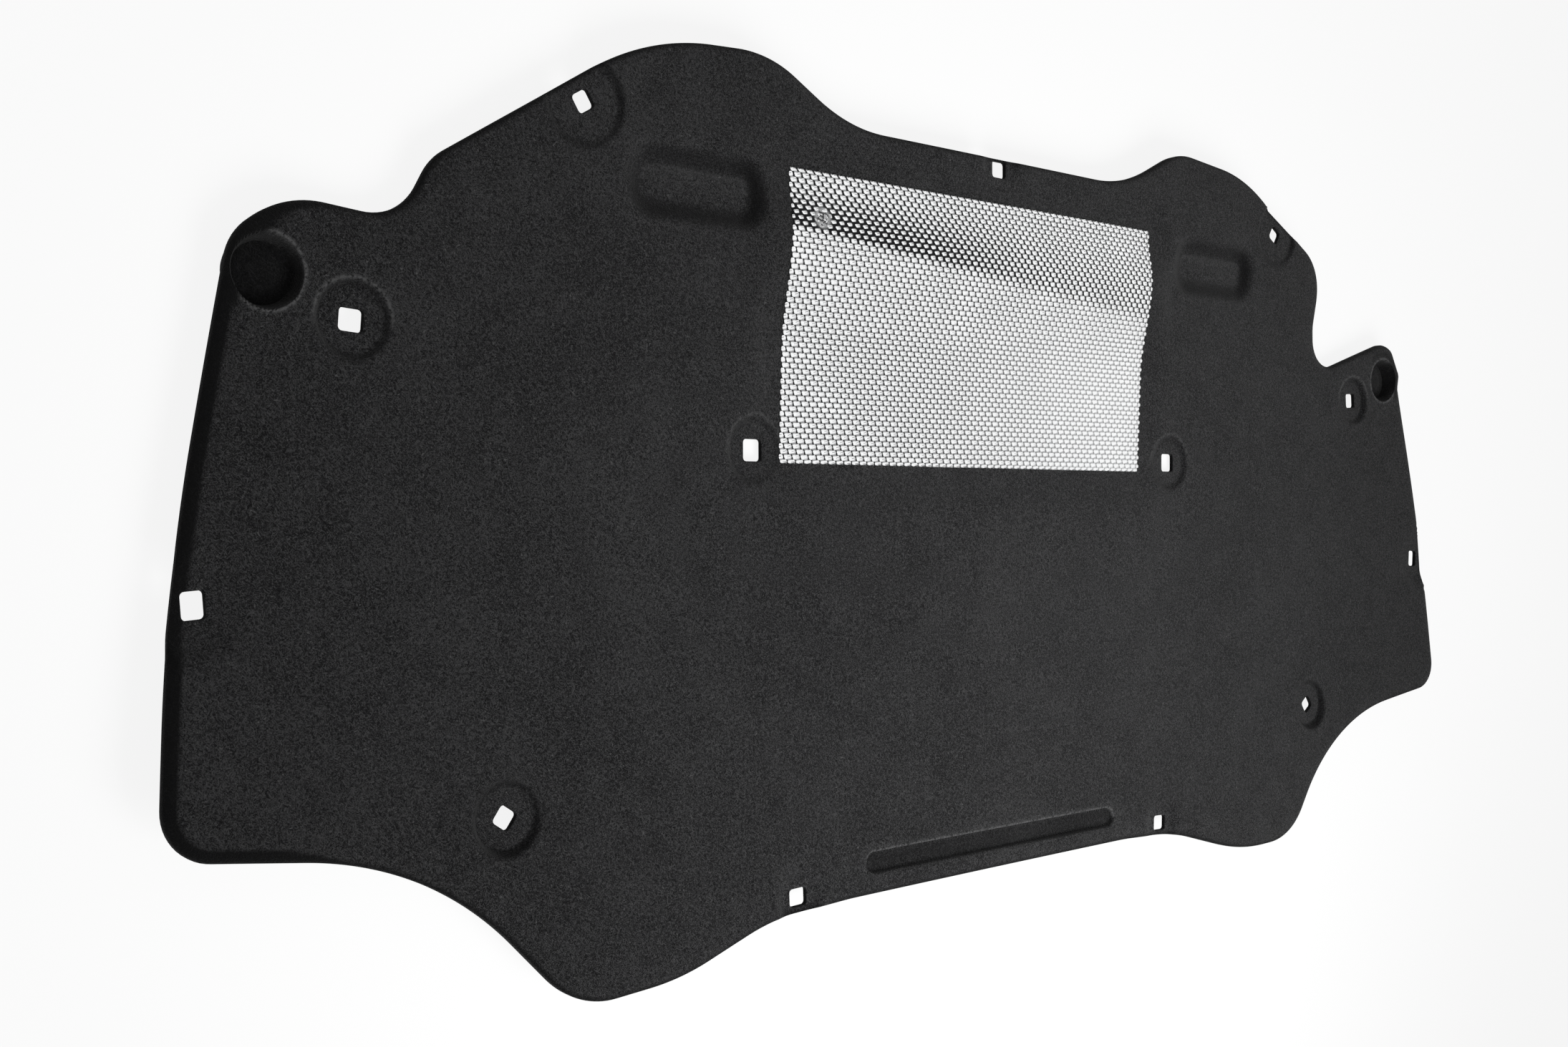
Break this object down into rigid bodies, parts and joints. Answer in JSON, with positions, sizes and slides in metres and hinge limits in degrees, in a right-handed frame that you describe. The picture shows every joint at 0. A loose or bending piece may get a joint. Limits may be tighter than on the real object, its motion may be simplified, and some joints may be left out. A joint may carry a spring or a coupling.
{
  "type": "hood insulation pad",
  "caption": "Moulded black needled-felt hood insulation pad with clip holes, bump-stop recesses and a bonded embossed aluminium foil heat shield",
  "frame": {"origin": "middle of the pad's bounding box, at its lowest point", "axes": "+X across the car, the long way; +Y towards the windscreen edge; +Z out of the engine side, which carries the foil"},
  "size_m": [1.32, 0.6392, 0.037],
  "materials": {
    "felt": "matte",
    "foil": "satin"
  },
  "bodies": {
    "root": {"felt_pad": "felt", "foil_reflector": "foil"}
  },
  "joints": []
}
